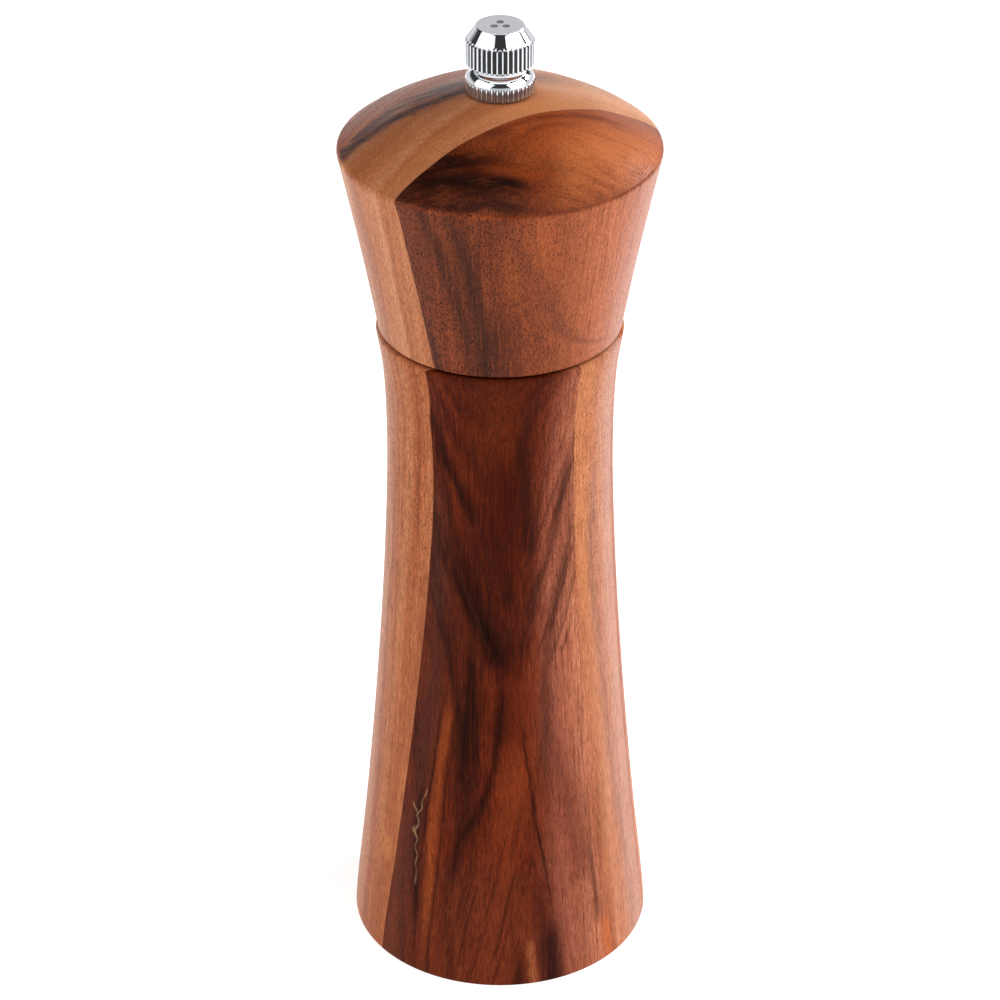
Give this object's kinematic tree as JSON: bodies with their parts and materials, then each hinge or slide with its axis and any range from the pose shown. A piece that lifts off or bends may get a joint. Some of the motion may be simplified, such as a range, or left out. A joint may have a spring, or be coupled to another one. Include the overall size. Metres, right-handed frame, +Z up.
{
  "type": "pepper mill",
  "caption": "Wooden pepper mill with a turning head, a removable fluted metal knob that sets the grind, and a ceramic burr grinder on a square spindle.",
  "frame": {"origin": "centre of the base, on the surface that the mill stands on", "axes": "+Z up the mill's axis, -Y towards the darker front board of the body"},
  "size_m": [0.066, 0.066, 0.215],
  "materials": {
    "body_wood": "satin oiled, dark red-brown front board, lighter boards behind",
    "head_wood": "satin oiled, two boards of different colour",
    "knob_plating": "polished plating, brushed flat top",
    "spindle_metal": "drawn, satin",
    "steel": "bright zinc or stainless",
    "dark_plastic": "moulded, fine texture",
    "white_plastic": "natural moulded",
    "ceramic": "unglazed technical ceramic"
  },
  "bodies": {
    "mill_body": {"body": "body_wood", "grinder_housing": "dark_plastic", "housing_screws": "steel", "bridge": "dark_plastic", "outer_burr": "ceramic", "burr_retaining_ring": "dark_plastic"},
    "spring_seat": {"spindle_bush": "white_plastic", "upper_spring_washer": "steel", "spring": "steel"},
    "spindle": {"spindle": "spindle_metal", "inner_burr": "ceramic", "burr_carrier": "dark_plastic", "burr_washer": "steel", "burr_screw": "steel", "lower_spring_washer": "steel"},
    "head": {"head": "head_wood", "head_bush": "white_plastic", "drive_plate": "steel", "drive_plate_screws": "steel"},
    "knob": {"knob": "knob_plating"}
  },
  "joints": [
    {"name": "head_spin", "type": "hinge", "parent": "mill_body", "child": "spring_seat", "pos_m": [0, 0, 0.036], "axis": [0, 0, 1], "continuous": true},
    {"name": "spindle_rise", "type": "slide", "parent": "spring_seat", "child": "spindle", "axis": [0, 0, 1], "range_m": [0, 0.002], "deforming": ["spring"]},
    {"name": "head_lift", "type": "slide", "parent": "spring_seat", "child": "head", "axis": [0, 0, 1], "range_m": [0, 0.09]},
    {"name": "knob_turn", "type": "hinge", "parent": "head", "child": "knob", "pos_m": [0, 0, 0.2011], "axis": [0, 0, 1], "range_deg": [-720, 0]}
  ],
  "couplings": [
    {"joint": "knob_turn", "follows": "spindle_rise", "rad_per_m": -6283}
  ]
}
